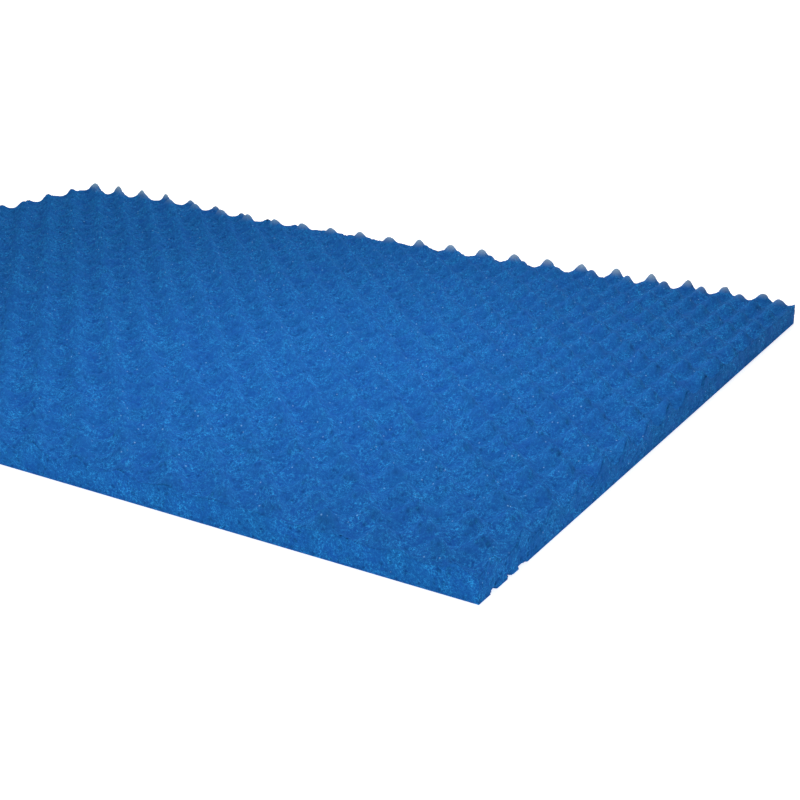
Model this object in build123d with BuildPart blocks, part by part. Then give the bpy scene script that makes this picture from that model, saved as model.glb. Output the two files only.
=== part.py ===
from build123d import *
import os
from math import ceil, hypot, sqrt

# A convoluted (egg-crate) filter mat for a pond or aquarium: one slab of coarse open-cell foam.
# The underside is flat. The top is a field of rounded peaks and dips in a chequerboard. A thicker
# blank is squeezed between toothed rolls while a band knife splits it down the middle, and when
# the foam springs back the cut is wavy. Four straight cuts then trim the mat to size.
# Millimetres. Origin at the centre of the underside, X across the mat, Y along it, Z up.

mat_width = 600.0  # along X
mat_length = 900.0  # along Y
mat_thickness = 25.0  # from the underside to the tops of the peaks
base_thickness = 13.8  # foam left under the bottom of each dip
row_pitch = 38.1  # from peak to peak along a row, and every other row is half a pitch over
row_skew = 1.6  # degrees that the rows stand out of square with the trimmed edges
centre_peak = (-12.8, -7.8)  # the peak nearest to the centre of the mat

# The relief is two equal waves added together, which run across each other at 45 degrees to the
# rows. A peak stands where two crests cross, and a dip lies where two troughs cross.
crest_spacing = row_pitch / sqrt(2)
wave_height = (mat_thickness - base_thickness) / 2
rows_to_crests = 45

# From crest to crest a wave is height x (1 - 16 t^2 (1 - t)^2), with t from 0 to 1. It is level at
# both crests and in the trough, its crests are narrower than its troughs, and it joins the next
# wave with the same slope and curvature. As a Bezier curve of the fourth degree it has five
# evenly spaced poles, and only the middle one leaves the height of the crests.
poles_per_wave = 5
trough_pole = wave_height * (1 - 16 / 6)
wave_poles = [wave_height, wave_height, trough_pole, wave_height, wave_height]


def wave_cell(place):
    """The patch of cut surface between four neighbouring peaks, centred on its dip."""
    steps = [(i / (poles_per_wave - 1) - 0.5) * crest_spacing for i in range(poles_per_wave)]
    poles = [
        [(x, y, base_thickness + wave_x + wave_y) for y, wave_y in zip(steps, wave_poles)]
        for x, wave_x in zip(steps, wave_poles)
    ]
    return place * Face.make_bezier_surface(poles)


def convoluted_cut():
    """The wavy surface that the knife leaves, as one shell of cells that covers the whole mat."""
    cells_each_way = 2 * ceil(hypot(mat_width, mat_length) / 2 / crest_spacing + 1)
    crest_plane = Plane(centre_peak).rotated((0, 0, rows_to_crests + row_skew))
    with Locations(crest_plane):
        grid = GridLocations(crest_spacing, crest_spacing, cells_each_way, cells_each_way)
    reach = crest_spacing * sqrt(0.5)
    over_mat = [
        place
        for place in grid.locations
        if abs(place.position.X) < mat_width / 2 + reach
        and abs(place.position.Y) < mat_length / 2 + reach
    ]
    return Shell([wave_cell(place) for place in over_mat])


os.makedirs("parts", exist_ok=True)

# The foam mat. The blank is as thick as the two mats that are cut from it, peaks into dips.
cut_surface = convoluted_cut()
blank_thickness = mat_thickness + base_thickness
with BuildPart() as foam_mat:
    with BuildSketch(Plane.XY):
        Rectangle(mat_width, mat_length)
    extrude(amount=blank_thickness)
    split(bisect_by=cut_surface, keep=Keep.BOTTOM)

foam_mat.part.label = "foam_mat"
export_step(foam_mat.part, "parts/foam_mat.step")
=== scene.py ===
# %% [markdown]
# # A convoluted pond filter mat
# The real object is one sheet of blue open-cell filter foam. Its underside is flat. Its top is a
# field of rounded peaks and dips, made when toothed rolls squeeze a thick blank while a knife
# splits it. The lesson builds that one piece: first the wavy slab, then the open cells that the
# knife cut through, then the foam's colour, and last the floor and the light.
#
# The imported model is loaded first. It gives the frame, so nothing has to be fitted later.

# %% Load the frame
from itertools import product
from math import cos, pi, radians, sin

import bmesh
import bpy
import numpy as np
from mathutils import Matrix, Vector


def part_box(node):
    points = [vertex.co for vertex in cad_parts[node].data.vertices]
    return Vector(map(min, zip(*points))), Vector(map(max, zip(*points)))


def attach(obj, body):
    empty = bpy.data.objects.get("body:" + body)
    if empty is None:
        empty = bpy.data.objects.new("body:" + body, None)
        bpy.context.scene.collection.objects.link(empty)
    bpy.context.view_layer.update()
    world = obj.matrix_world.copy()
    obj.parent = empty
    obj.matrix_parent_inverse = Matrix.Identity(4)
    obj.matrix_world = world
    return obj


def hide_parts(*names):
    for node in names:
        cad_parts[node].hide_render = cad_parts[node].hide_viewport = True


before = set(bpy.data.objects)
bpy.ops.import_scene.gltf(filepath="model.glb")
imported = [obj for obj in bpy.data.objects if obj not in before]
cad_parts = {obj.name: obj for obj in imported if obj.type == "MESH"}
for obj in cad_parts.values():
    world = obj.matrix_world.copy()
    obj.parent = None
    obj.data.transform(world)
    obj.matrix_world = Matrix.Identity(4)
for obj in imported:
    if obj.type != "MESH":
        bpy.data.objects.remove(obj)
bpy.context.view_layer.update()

MM = 0.001
low, high = (Vector(corner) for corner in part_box("foam_mat"))
width, length, thickness = high - low
print(f"mat {width / MM:.0f} x {length / MM:.0f} x {thickness / MM:.1f} mm")

# %% [markdown]
# ## The camera
# The mat is seen from above its near corner, at about the height of a person who leans over a
# table. A camera can be placed by typing three angles, or by naming the spot where it stands and
# the spot that it looks at. The second way is easier to read and to change, so it is used here,
# and a small roll is added because a camera held in the hand is seldom quite level.

# %% Place the camera
near_corner = Vector((low.x, low.y, 0))
camera_place = near_corner + Vector((-527.2, -297.5, 354.8)) * MM
camera_target = near_corner + Vector((242.0, 98.8, 21.2)) * MM
camera_roll = radians(1.37)

camera_data = bpy.data.cameras.new("camera")
camera_data.lens = 56.6
camera_data.shift_x = -0.157
camera_data.clip_end = 100
camera = bpy.data.objects.new("camera", camera_data)
aim = (camera_target - camera_place).to_track_quat("-Z", "Y").to_matrix().to_4x4()
roll = Matrix.Rotation(camera_roll, 4, "Z")
camera.matrix_world = Matrix.Translation(camera_place) @ aim @ roll
bpy.context.scene.collection.objects.link(camera)
bpy.context.scene.camera = camera
print("camera stands", round((camera_target - camera_place).length / MM), "mm from its target")

# %% [markdown]
# ## The blank
# The slab could be a cube with a Subdivision Surface, but the cells of the foam are only a few
# millimetres wide, so the mesh has to be fine and even. A grid is made with create_grid, with
# faces just under a millimetre wide. Its open rim is then extruded down, row by row, which gives
# the cut sides the same fine faces, and the last rim is closed with one flat face. That underside
# is cut into squares with bisect_plane, so that it can bend a little later.
#
# For now the blank is exactly 1 high: z says how far up the slab a point is, from 0 to 1.

# %% Make the blank
face_size = 0.9 * MM
side_rows = 26
underside_square = 50 * MM


def cut_into_squares(bm, faces):
    for axis, span in ((0, width), (1, length)):
        direction = Vector((1, 0, 0)) if axis == 0 else Vector((0, 1, 0))
        for count in range(1, round(span / underside_square)):
            geom = faces + list({part for face in faces for part in (*face.edges, *face.verts)})
            place = direction * (count * underside_square - span / 2)
            cut = bmesh.ops.bisect_plane(bm, geom=geom, plane_co=place, plane_no=direction, dist=1e-6)
            faces = [part for part in cut["geom"] if isinstance(part, bmesh.types.BMFace)]


def make_blank():
    bm = bmesh.new()
    across, along = round(width / face_size), round(length / face_size)
    bmesh.ops.create_grid(bm, x_segments=across, y_segments=along, size=0.5)
    bmesh.ops.scale(bm, vec=(width, length, 1), verts=bm.verts)
    bmesh.ops.translate(bm, vec=(0, 0, 1), verts=bm.verts)
    rim = [edge for edge in bm.edges if edge.is_boundary]
    for _ in range(side_rows):
        grown = bmesh.ops.extrude_edge_only(bm, edges=rim)["geom"]
        rim = [part for part in grown if isinstance(part, bmesh.types.BMEdge) and part.is_boundary]
        corners = {vert for edge in rim for vert in edge.verts}
        bmesh.ops.translate(bm, vec=(0, 0, -1 / side_rows), verts=list(corners))
    cut_into_squares(bm, bmesh.ops.contextual_create(bm, geom=rim)["faces"])
    bmesh.ops.recalc_face_normals(bm, faces=bm.faces)
    mesh = bpy.data.meshes.new("foam_mat_open_cell")
    bm.to_mesh(mesh)
    bm.free()
    return mesh


mat_mesh = make_blank()
foam = bpy.data.objects.new("foam_mat_open_cell", mat_mesh)
bpy.context.scene.collection.objects.link(foam)
print("blank has", len(mat_mesh.polygons), "faces")

# %% [markdown]
# ## What to remember of the blank
# Two things are easiest to write down while the slab is still a plain box. One is which way each
# face looks, which the foam's finish uses later. The other is a flat map of the faces, so that
# textures can be baked: top and underside next to each other, and the four cut sides in strips
# above them. Blender's unwrap would find a similar map from marked seams, but takes far longer.

# %% Note the sides and the map
map_gap = 10 * MM
map_side = 1.3


def read_rows(items, name, width=3):
    """The named value of every item, one row of numbers for each."""
    rows = np.empty(len(items) * width, np.float32)
    items.foreach_get(name, rows)
    return rows.reshape(-1, width).astype(float)


def flat_map(mesh, sides):
    """Place on the map, in metres, of every corner of every face."""
    corner_vertex = read_rows(mesh.loops, "vertex_index", 1)[:, 0].astype(int)
    x, y, z = (read_rows(mesh.vertices, "co")[corner_vertex] * (1, 1, thickness) - (low.x, low.y, 0)).T
    top, under = sides[:, 2] > 0.5, sides[:, 2] < -0.5
    front, back, left = sides[:, 1] < -0.5, sides[:, 1] > 0.5, sides[:, 0] < -0.5
    next_to, above = width + map_gap, length + map_gap
    strip = thickness + map_gap
    which = [top, under, front, back, left]
    u = np.select(which, [x, x + next_to, x, x + next_to, y], y)
    v = np.select(which, [y, y, z + above, z + above, z + above + strip], z + above + 2 * strip)
    return np.stack([u, v], axis=1) + map_gap


face_corners = read_rows(mat_mesh.polygons, "loop_total", 1)[:, 0].astype(int)
sides = np.repeat(read_rows(mat_mesh.polygons, "normal"), face_corners, axis=0)
slab_normal = mat_mesh.attributes.new("slab_normal", "FLOAT_VECTOR", "CORNER")
slab_normal.data.foreach_set("vector", sides.astype(np.float32).ravel())
on_map = flat_map(mat_mesh, sides)
baking_map = mat_mesh.uv_layers.new(name="OFBake")
baking_map.data.foreach_set("uv", (on_map / map_side).astype(np.float32).ravel())
print("the map is", np.round(on_map.max(axis=0) + map_gap, 2), "m, out of", map_side, "m")

# %% [markdown]
# ## Uneven numbers
# Real foam is never quite regular, so several steps need numbers that change softly from place to
# place. Blender's noise textures would do, but a numpy table of random numbers, read with a smooth
# step between its entries, works on all points of the mesh at once. The seed makes it the same
# every time.

# %% Soft noise
table_side = 32  # the random numbers repeat after this many steps


def smooth_step(value, start, stop):
    """0 up to the start, 1 from the stop, and an easy slope between them."""
    t = np.clip((value - start) / (stop - start), 0, 1)
    return t * t * (3 - 2 * t)


def soft_noise(points, size, seed):
    """Random numbers from -1 to 1 that change smoothly over about the given size."""
    table = np.random.default_rng(seed).random((table_side,) * 3) * 2 - 1
    place = points / size
    home = np.floor(place).astype(int)
    share = smooth_step(place - home, 0, 1)
    total = np.zeros(len(points))
    for step in product((0, 1), repeat=3):
        weight = np.prod(np.where(step, share, 1 - share), axis=1)
        total += weight * table[tuple(((home + step) % table_side).T)]
    return total


points = read_rows(mat_mesh.vertices, "co")
print("uneven by", np.round(soft_noise(points[:5], 7 * MM, seed=4), 2), "at the first five points")

# %% [markdown]
# ## The waves
# Two cosine waves multiplied together give a chequerboard of peaks and dips, which is what the
# toothed rolls leave. Squeezed foam springs back into peaks that are narrower than the dips, so
# the product is bent a little: one number sharpens both, another narrows the peaks. Each peak also
# springs back by its own amount, and small lumps break up the smooth slopes. The rows are not
# quite in line with the trimmed edges. How steep each point of the top is, from 0 where it is
# level to nearly 1 where it is upright, is kept with the mesh for the material.

# %% Raise the waves
row_pitch = 38.1 * MM
row_skew = radians(1.6)
centre_peak = Vector((-12.8, -7.8)) * MM
base_thickness = 13.8 * MM
sharpness = 0.46
narrowness = 0.26
horn = 1.4 * MM
horn_from = 0.35
horn_spread = 26 * MM
lump_height = 0.9 * MM
lump_size = 7 * MM
lumps_above = 13 * MM
rim_width = 0.1 * MM


def wave_height(points):
    x, y = points[:, 0] - centre_peak.x, points[:, 1] - centre_peak.y
    along_row = (x * cos(row_skew) + y * sin(row_skew)) / row_pitch
    across_row = (y * cos(row_skew) - x * sin(row_skew)) / row_pitch
    wave = np.cos(2 * pi * along_row) * np.cos(2 * pi * across_row)
    bent = wave + sharpness * wave * (np.abs(wave) - 1) + narrowness * (wave**2 - 1)
    spring_back = 1 + soft_noise(points * (1, 1, 0), horn_spread, seed=3)
    tip = horn * spring_back * smooth_step(wave, horn_from, 1)
    return base_thickness + (thickness - base_thickness) * (bent + 1) / 2 + tip


def write_points(mesh, points):
    mesh.vertices.foreach_set("co", points.astype(np.float32).ravel())
    mesh.update()


def store(mesh, name, values):
    """Keeps a number with each point of the mesh, for a material to read."""
    layer = mesh.attributes.new(name, "FLOAT", "POINT")
    layer.data.foreach_set("value", values.astype(np.float32))


in_width = np.abs(points[:, 0]) < width / 2 - rim_width
in_length = np.abs(points[:, 1]) < length / 2 - rim_width
is_top = in_width & in_length & (points[:, 2] > 1 - 0.5 / side_rows)
points[:, 2] *= wave_height(points)
points[:, 2] += lump_height * soft_noise(points, lump_size, seed=4) * (points[:, 2] > lumps_above)
write_points(mat_mesh, points)
store(mat_mesh, "slope", np.where(is_top, 1 - read_rows(mat_mesh.vertices, "normal")[:, 2], 0))
print(f"top runs from {points[is_top, 2].min() / MM:.1f} to {points[is_top, 2].max() / MM:.1f} mm")

# %% [markdown]
# ## The open cells
# Reticulated foam is a net of thin struts around round cells, and a knife that passes through it
# leaves every cell open. Modelling each strut would take hundreds of millions of faces, so each
# cell is pressed into the fine mesh as a small bowl with a raised rim. The cells of a foam lie
# like Voronoi cells: a point belongs to the nearest of many scattered centres, and the struts run
# where two centres are equally near. The distances are worked out in 3-D, so the bowls run on
# over the edges of the mat without a seam, and some are cut through wide and others narrow.

# %% Scatter the cells
cell_size = 3.2 * MM
scatter = 0.8


def cell_field(points, size, seed):
    """Distances to the nearest and second nearest centre, in cells, and the nearest one's number."""
    chance = np.random.default_rng(seed)
    offset = chance.random((table_side,) * 3 + (3,), np.float32) * scatter + (1 - scatter) / 2
    number = chance.random((table_side,) * 3, np.float32)
    place = (points / size).astype(np.float32)
    home = np.floor(place).astype(int)
    nearest = np.full(len(points), 9, np.float32)
    second = nearest.copy()
    own = np.zeros(len(points), np.float32)
    for step in product((-1, 0, 1), repeat=3):
        cell = home + step
        at = tuple((cell % table_side).T)
        distance = np.linalg.norm(cell + offset[at] - place, axis=1)
        closer = distance < nearest
        second = np.where(closer, nearest, np.minimum(second, distance))
        own = np.where(closer, number[at], own)
        nearest = np.where(closer, distance, nearest)
    return nearest, second, own


nearest, second, own = cell_field(points, cell_size, seed=11)
print(f"about {width / cell_size:.0f} cells across the mat and {length / cell_size:.0f} along it")

# %% [markdown]
# ## The bowls
# A bowl is deepest in the middle of its cell and has its rim where two cells meet. Each one gets
# its own depth, because the knife met it higher or lower. Near the floor the depth fades out, so
# the bottom edge stays as straight as the knife cut it. How deep and how high each point lies is
# kept with the mesh, for the material.

# %% Press the bowls
bowl_depth = 0.9 * MM
bowl_from, bowl_to = 0.04, 0.55  # from the rim of a bowl to its flat bottom, in cells
clean_edge = 1.2 * MM


bowl = smooth_step(second - nearest, bowl_from, bowl_to) * own
depth = bowl_depth * bowl * smooth_step(points[:, 2], 0, clean_edge)
points -= read_rows(mat_mesh.vertices, "normal") * depth[:, None]
write_points(mat_mesh, points)
store(mat_mesh, "cavity", depth / bowl_depth)
store(mat_mesh, "height", points[:, 2])
print(f"bowls are up to {depth.max() / MM:.1f} mm deep, {depth.mean() / MM:.2f} mm on average")

# %% [markdown]
# ## Wear
# Foam that soft never stays perfect. Three bits are torn out of the bottom edge next to the near
# corner. A Boolean could cut them, but on a mesh as fine as this one it is enough to push the
# points of the edge inwards, with ragged ends.

# %% Tear the nicks
nicks = [(18, 7, 3.6), (36, 5.5, 3.0), (52, 10, 2.0)]  # place along the edge, width and depth in mm
nick_height = 4 * MM
ragged_size = 1.4 * MM
ragged_share = 0.45
soft_edge = 0.4
skin = 1.5 * MM

edge = np.flatnonzero((points[:, 1] < low.y + skin) & (points[:, 2] < 2 * nick_height))
ragged = ragged_share * soft_noise(points[edge], ragged_size, seed=5)
torn = np.zeros(len(edge))
for place, wide, deep in nicks:
    away = np.abs(points[edge, 0] - low.x - place * MM) / (wide * MM / 2)
    up = points[edge, 2] / nick_height
    bite = smooth_step(1 - np.hypot(away, up) + ragged, 0, soft_edge)
    torn = np.maximum(torn, bite * deep * MM)
points[edge, 1] += torn
print("torn points:", int((torn > 0.5 * MM).sum()))

# %% [markdown]
# ## The curled corner
# A mat that was rolled up for storage doesn't lie quite flat again, and its far corner curls up a
# little. A Simple Deform modifier could bend the whole mat. Lifting the points by the product of
# two easy slopes, one across the mat and one along it, bends just this corner. Everything is
# shaded smooth but the underside, which the knife left flat.

# %% Curl the far corner
corner_lift = 6.8 * MM
curl_across = high.x - 400 * MM, high.x - 50 * MM  # where it starts and where it is complete
curl_along = high.y - 280 * MM, high.y - 120 * MM

lift = smooth_step(points[:, 0], *curl_across) * smooth_step(points[:, 1], *curl_along)
points[:, 2] += corner_lift * lift
write_points(mat_mesh, points)
mat_mesh.polygons.foreach_set("use_smooth", read_rows(mat_mesh.polygons, "normal")[:, 2] > -0.9)
mat_mesh.update()
print("highest point:", round(points[:, 2].max() / MM, 1), "mm")

# %% [markdown]
# ## Colours and nodes
# Filter foam is polyurethane dyed in the mass. Up close it is a net of glossy struts over dark
# cells, which from further off reads as a matt blue with a fine grain and a few sparks. Colours
# are written as sRGB hex values, as in any paint program, and one function turns them into the
# linear numbers that Blender reckons with. A second function adds a node and links it.

# %% Colours and node helper


def linear(hex_colour):
    """The linear colour, with alpha, of an sRGB hex value."""
    channels = [int(hex_colour[i : i + 2], 16) / 255 for i in (1, 3, 5)]
    return [c / 12.92 if c <= 0.04045 else ((c + 0.055) / 1.055) ** 2.4 for c in channels] + [1]


def add_node(tree, kind, settings=None, **inputs):
    """Adds a node, sets its properties, and sets or links its inputs by name, or by number as i0."""
    node = tree.nodes.new(kind)
    for name, value in (settings or {}).items():
        setattr(node, name, value)
    for name, value in inputs.items():
        by_number = name[0] == "i" and name[1:].isdigit()
        socket = node.inputs[int(name[1:]) if by_number else name.replace("_", " ")]
        if isinstance(value, bpy.types.NodeSocket):
            tree.links.new(value, socket)
        else:
            socket.default_value = value
    return node


print("sRGB #808080 is", round(linear("#808080")[0], 3), "in linear light")

# %% [markdown]
# ## The struts
# The pale grain of the foam is its struts, which catch the light. Three nets of them lie over each
# other: each one is the borders of Voronoi cells of a different size, with their lines bent by
# noise, and patches of noise break it up. The pattern is worked out in 3-D from the place on the
# mat in millimetres, so it meets over every edge. Real struts are about 0.1 mm thick, which would
# be too fine to show, so the lines are drawn about twice as coarse. An image texture would be
# quicker to make, but it would repeat, and stretch on the sides.

# %% Draw the struts
# Each net of struts: spacing in mm, line width in cells, and share of the brightness.
strut_nets = [(2.4, 0.08, 0.6), (1.5, 0.12, 0.58), (0.9, 0.18, 0.6)]
bend_size, bend_reach, patch_size = 1.1, 0.9, 1.7  # in spacings
patch_from, patch_to = 0.45, 0.68  # the noise at which a net starts to show and shows in full


def strut_net(tree, place, spacing, line, share):
    """One net: how bright its struts are at a place, from 0 to the share."""
    bend = add_node(
        tree, "ShaderNodeTexNoise", Vector=place, Scale=1 / (spacing * bend_size * MM), Detail=1.0
    )
    shift = add_node(
        tree, "ShaderNodeVectorMath", {"operation": "SCALE"},
        i0=bend.outputs["Color"], Scale=spacing * bend_reach * MM,
    )
    bent = add_node(
        tree, "ShaderNodeVectorMath", {"operation": "ADD"}, i0=place, i1=shift.outputs["Vector"]
    )
    cells = add_node(
        tree, "ShaderNodeTexVoronoi", {"feature": "DISTANCE_TO_EDGE"},
        Vector=bent.outputs["Vector"], Scale=1 / (spacing * MM),
    )
    lines = add_node(
        tree, "ShaderNodeMapRange", {"interpolation_type": "SMOOTHSTEP"},
        Value=cells.outputs["Distance"], i1=0.0, i2=line, i3=1.0, i4=0.0,
    )
    patches = add_node(
        tree, "ShaderNodeTexNoise", Vector=place, Scale=1 / (spacing * patch_size * MM), Detail=2.0
    )
    seen = add_node(
        tree, "ShaderNodeMapRange",
        Value=patches.outputs["Fac"], i1=patch_from, i2=patch_to, i3=0.0, i4=share,
    )
    layer = add_node(
        tree, "ShaderNodeMath", {"operation": "MULTIPLY"},
        i0=lines.outputs["Result"], i1=seen.outputs["Result"],
    )
    return layer.outputs["Value"]


def all_struts(tree, place):
    net = 0.0
    for spacing, line, share in strut_nets:
        layer = strut_net(tree, place, spacing, line, share)
        net = add_node(tree, "ShaderNodeMath", {"operation": "ADD"}, i0=net, i1=layer).outputs["Value"]
    return net


print("struts are drawn", [round(spacing * line, 2) for spacing, line, _ in strut_nets], "mm thick")

# %% [markdown]
# ## The dye, with painted shade and glow
# Dye soaks into foam in clouds, so one blue is slightly greener and the other slightly more
# violet, and the bottom of a cell is painted darker than its rim, as painted shade. The net of
# struts is denser in some spots than in others, which gives soft lighter tufts. Steep slopes get a
# painted glow, a lighter blue for light that goes through a peak. A plain blue would look like
# plastic.

# %% Colour the foam
violet_blue = "#1856a6"
green_blue = "#165ba1"
# painted shade for the bottom of a cell
cell_shade_blue = "#134d90"
# painted glow for steep slopes
painted_glow_blue = "#2676cc"
strut_blue = "#30a2ea"
cloud_size = 22 * MM
tuft_size = 13 * MM
thin_tuft, thick_tuft = 0.45, 1.3
glow_from, glow_to, glow_share = 0.08, 0.45, 0.4  # slopes, and how much of the glow they get


def dye_and_painted_light(tree, place, net):
    cavity = add_node(tree, "ShaderNodeAttribute", {"attribute_name": "cavity"})
    clouds = add_node(tree, "ShaderNodeTexNoise", Vector=place, Scale=1 / cloud_size, Detail=2.0)
    cloud = add_node(
        tree, "ShaderNodeMapRange", Value=clouds.outputs["Fac"], i1=0.3, i2=0.7, i3=0.0, i4=1.0
    )
    dye = add_node(
        tree, "ShaderNodeMix", {"data_type": "RGBA"},
        i0=cloud.outputs["Result"], i6=linear(violet_blue), i7=linear(green_blue),
    )
    # painted shade: the colour turns darker towards the bottom of each cell
    ground = add_node(
        tree, "ShaderNodeMix", {"data_type": "RGBA"},
        i0=cavity.outputs["Fac"], i6=dye.outputs[2], i7=linear(cell_shade_blue),
    )
    # painted glow: steep slopes turn a lighter blue
    slope = add_node(tree, "ShaderNodeAttribute", {"attribute_name": "slope"})
    glow = add_node(
        tree, "ShaderNodeMapRange",
        Value=slope.outputs["Fac"], i1=glow_from, i2=glow_to, i3=0.0, i4=glow_share,
    )
    glowing = add_node(
        tree, "ShaderNodeMix", {"data_type": "RGBA"},
        i0=glow.outputs["Result"], i6=ground.outputs[2], i7=linear(painted_glow_blue),
    )
    density = add_node(tree, "ShaderNodeTexNoise", Vector=place, Scale=1 / tuft_size, Detail=2.0)
    tufts = add_node(
        tree, "ShaderNodeMapRange",
        Value=density.outputs["Fac"], i1=0.35, i2=0.65, i3=thin_tuft, i4=thick_tuft,
    )
    thick_net = add_node(
        tree, "ShaderNodeMath", {"operation": "MULTIPLY"}, i0=net, i1=tufts.outputs["Result"]
    )
    colour = add_node(
        tree, "ShaderNodeMix", {"data_type": "RGBA"},
        i0=thick_net.outputs["Value"], i6=glowing.outputs[2], i7=linear(strut_blue),
    )
    return colour.outputs[2]


print(f"dye clouds are about {cloud_size / MM:.0f} mm wide, tufts about {tuft_size / MM:.0f} mm")

# %% [markdown]
# ## The sparks
# Here and there the end of a strut mirrors a lamp straight into the eye. Modelling mirrors that
# small isn't worth it: a Voronoi texture gives each cell a random colour, and only the one cell in
# about a hundred whose red is near 1 gets a pale dot in its middle.

# %% Add the sparks
spark_spacing = 1.6 * MM
spark_blue = "#8acdff"
spark_from, spark_to, spark_share = 0.988, 0.992, 0.5  # a cell's red number, and how pale it gets


def sparkling(tree, place, colour):
    cells = add_node(tree, "ShaderNodeTexVoronoi", Vector=place, Scale=1 / spark_spacing)
    number = add_node(tree, "ShaderNodeSeparateColor", Color=cells.outputs["Color"])
    chosen = add_node(
        tree, "ShaderNodeMapRange",
        Value=number.outputs["Red"], i1=spark_from, i2=spark_to, i3=0.0, i4=spark_share,
    )
    middle = add_node(
        tree, "ShaderNodeMapRange", Value=cells.outputs["Distance"], i1=0.25, i2=0.45, i3=1.0, i4=0.0
    )
    glint = add_node(
        tree, "ShaderNodeMath", {"operation": "MULTIPLY"},
        i0=chosen.outputs["Result"], i1=middle.outputs["Result"],
    )
    dotted = add_node(
        tree, "ShaderNodeMix", {"data_type": "RGBA"},
        i0=glint.outputs["Value"], i6=colour, i7=linear(spark_blue),
    )
    return dotted.outputs[2]


print("one cell in", round(1 / (1 - (spark_from + spark_to) / 2)), "sparks")

# %% [markdown]
# ## The pale slivers
# The trimming knife cut the last row of peaks on the far side into slivers. They are mostly air,
# so the daylight behind them makes them paler. A see-through shader would need every strut as
# geometry, so the colour does it: it fades to a pale grey-blue near that side and near the tips.

# %% Fade the slivers
sliver_grey = "#9dc0d2"
sliver_from, sliver_to = high.x - 28 * MM, high.x - 4 * MM
tip_from, tip_to = 19 * MM, 27 * MM
tip_share = 0.75


def pale_slivers(tree, place, colour):
    height = add_node(tree, "ShaderNodeAttribute", {"attribute_name": "height"})
    spot = add_node(tree, "ShaderNodeSeparateXYZ", Vector=place)
    top_part = add_node(
        tree, "ShaderNodeMapRange", {"interpolation_type": "SMOOTHSTEP"},
        Value=height.outputs["Fac"], i1=tip_from, i2=tip_to, i3=0.0, i4=tip_share,
    )
    far_side = add_node(
        tree, "ShaderNodeMapRange", {"interpolation_type": "SMOOTHSTEP"},
        Value=spot.outputs["X"], i1=sliver_from, i2=sliver_to, i3=0.0, i4=1.0,
    )
    sliver = add_node(
        tree, "ShaderNodeMath", {"operation": "MULTIPLY"},
        i0=top_part.outputs["Result"], i1=far_side.outputs["Result"],
    )
    tipped = add_node(
        tree, "ShaderNodeMix", {"data_type": "RGBA"},
        i0=sliver.outputs["Value"], i6=colour, i7=linear(sliver_grey),
    )
    return tipped.outputs[2]


print(f"the slivers fade over the last {(high.x - sliver_from) / MM:.0f} mm")

# %% [markdown]
# ## The soft light inside
# Light sinks deep into open foam and comes out all over it, so a slope is hardly darker than the
# ground beside it. Subsurface scattering would show that, but on so many faces it takes minutes to
# render. Turning the normal most of the way back to that of the plain slab looks nearly the same.

# %% Soften the normal
slab_share = 0.68
bump_depth = 0.3 * MM
bump_strength = 0.35


def softened_normal(tree, net):
    bump = add_node(tree, "ShaderNodeBump", Height=net, Distance=bump_depth, Strength=bump_strength)
    slab = add_node(tree, "ShaderNodeAttribute", {"attribute_name": "slab_normal"})
    turned = add_node(
        tree, "ShaderNodeMix", {"data_type": "VECTOR"},
        i0=slab_share, i4=bump.outputs["Normal"], i5=slab.outputs["Vector"],
    )
    return add_node(
        tree, "ShaderNodeVectorMath", {"operation": "NORMALIZE"}, i0=turned.outputs[1]
    ).outputs["Vector"]


print(f"the normal is turned {slab_share:.0%} of the way to the slab's own")

# %% [markdown]
# ## The blue filter foam
# The parts are put together in one Principled BSDF. A mass of fine struts scatters light all ways,
# so the foam is rough and has next to no gloss of its own.

# %% Make the foam material


def filter_foam():
    material = bpy.data.materials.new("blue_reticulated_polyurethane_foam")
    material.use_nodes = True
    tree = material.node_tree
    shader = tree.nodes["Principled BSDF"]
    place = add_node(tree, "ShaderNodeTexCoord").outputs["Object"]
    net = all_struts(tree, place)
    colour = pale_slivers(tree, place, sparkling(tree, place, dye_and_painted_light(tree, place, net)))
    tree.links.new(colour, shader.inputs["Base Color"])
    tree.links.new(softened_normal(tree, net), shader.inputs["Normal"])
    shader.inputs["Roughness"].default_value = 0.65
    shader.inputs["Specular IOR Level"].default_value = 0.01
    return material


mat_mesh.materials.append(filter_foam())
print("foam material has", len(mat_mesh.materials[0].node_tree.nodes), "nodes")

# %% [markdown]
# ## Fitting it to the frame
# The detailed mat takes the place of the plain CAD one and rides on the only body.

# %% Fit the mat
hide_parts("foam_mat")
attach(foam, "root")
print("the mat has", len(mat_mesh.vertices), "points")

# %% [markdown]
# ## The floor
# A large pale sheet, matt and evenly white. It glows a little by itself, as a paper sweep does
# with lights on it from all sides, and that light also reaches the cut sides of the mat. It lies
# a fraction of a millimetre below the mat, so the two faces never lie in the same plane.

# %% Lay the floor
floor_gap = 0.2 * MM


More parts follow.
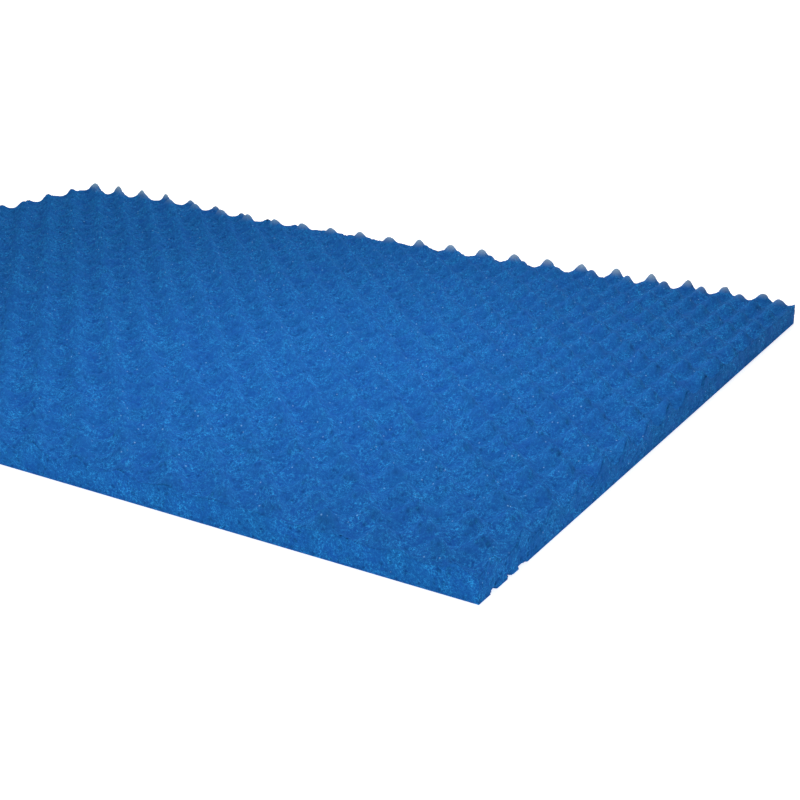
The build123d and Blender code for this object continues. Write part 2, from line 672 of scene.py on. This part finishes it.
def studio_sheet(name, colour, size, place, turn=0):
    """A flat matt sheet that isn't part of the object. Turned by half of pi it stands upright."""
    mesh = bpy.data.meshes.new(name)
    bm = bmesh.new()
    bmesh.ops.create_grid(bm, x_segments=1, y_segments=1, size=0.5)
    bmesh.ops.scale(bm, vec=(*size, 1), verts=bm.verts)
    bmesh.ops.rotate(bm, matrix=Matrix.Rotation(turn, 3, "X"), verts=bm.verts)
    bmesh.ops.translate(bm, vec=place, verts=bm.verts)
    bm.to_mesh(mesh)
    bm.free()
    material = bpy.data.materials.new(name)
    material.use_nodes = True
    shader = material.node_tree.nodes["Principled BSDF"]
    shader.inputs["Base Color"].default_value = linear(colour)
    mesh.materials.append(material)
    sheet = bpy.data.objects.new(name, mesh)
    bpy.context.scene.collection.objects.link(sheet)
    return sheet, shader


floor, paper = studio_sheet("floor", "#eaeaea", (80, 80), (0, 0, -floor_gap))
paper.inputs["Roughness"].default_value = 0.9
paper.inputs["Emission Color"].default_value = (1, 1, 1, 1)
paper.inputs["Emission Strength"].default_value = 0.72
print("floor is", round(floor.dimensions.x), "m wide")

# %% [markdown]
# ## The light
# Nearly all the light is soft and comes from the whole room, which the world gives. A small lamp
# above the mat makes a faint pool of brighter blue near the front, and a large window far to
# the right picks out one side of each peak. A black card on the near right side keeps that cut
# side a little darker than the others. Photographers call such a card a flag.

# %% Set up the light


def area_light(name, place, target, size, power, colour):
    data = bpy.data.lights.new(name, "AREA")
    data.color = linear(colour)[:3]
    data.shape = "DISK"
    data.size = size
    data.energy = power
    light = bpy.data.objects.new(name, data)
    aim = (Vector(target) - Vector(place)).to_track_quat("-Z", "Y")
    light.matrix_world = Matrix.Translation(place) @ aim.to_matrix().to_4x4()
    light.visible_camera = False
    bpy.context.scene.collection.objects.link(light)


pool_middle = Vector((-0.11, -0.22, 0))
area_light("pool_light", pool_middle + Vector((0, 0, 0.46)), pool_middle, 0.45, 1.75, "#ffd6dc")
area_light("window_light", (1.5, 0.1, 0.9), (0, 0, 0), 0.9, 4.6, "#ffffff")

card, _ = studio_sheet("black_card", "#101010", (1.1, 0.45), (0.42, -0.72, 0.225), turn=pi / 2)
card.visible_camera = False

world = bpy.data.worlds.new("studio")
world.use_nodes = True
world.node_tree.nodes["Background"].inputs["Color"].default_value = (1, 1, 1, 1)
world.node_tree.nodes["Background"].inputs["Strength"].default_value = 0.64
bpy.context.scene.world = world
bpy.context.scene.view_settings.view_transform = "Standard"
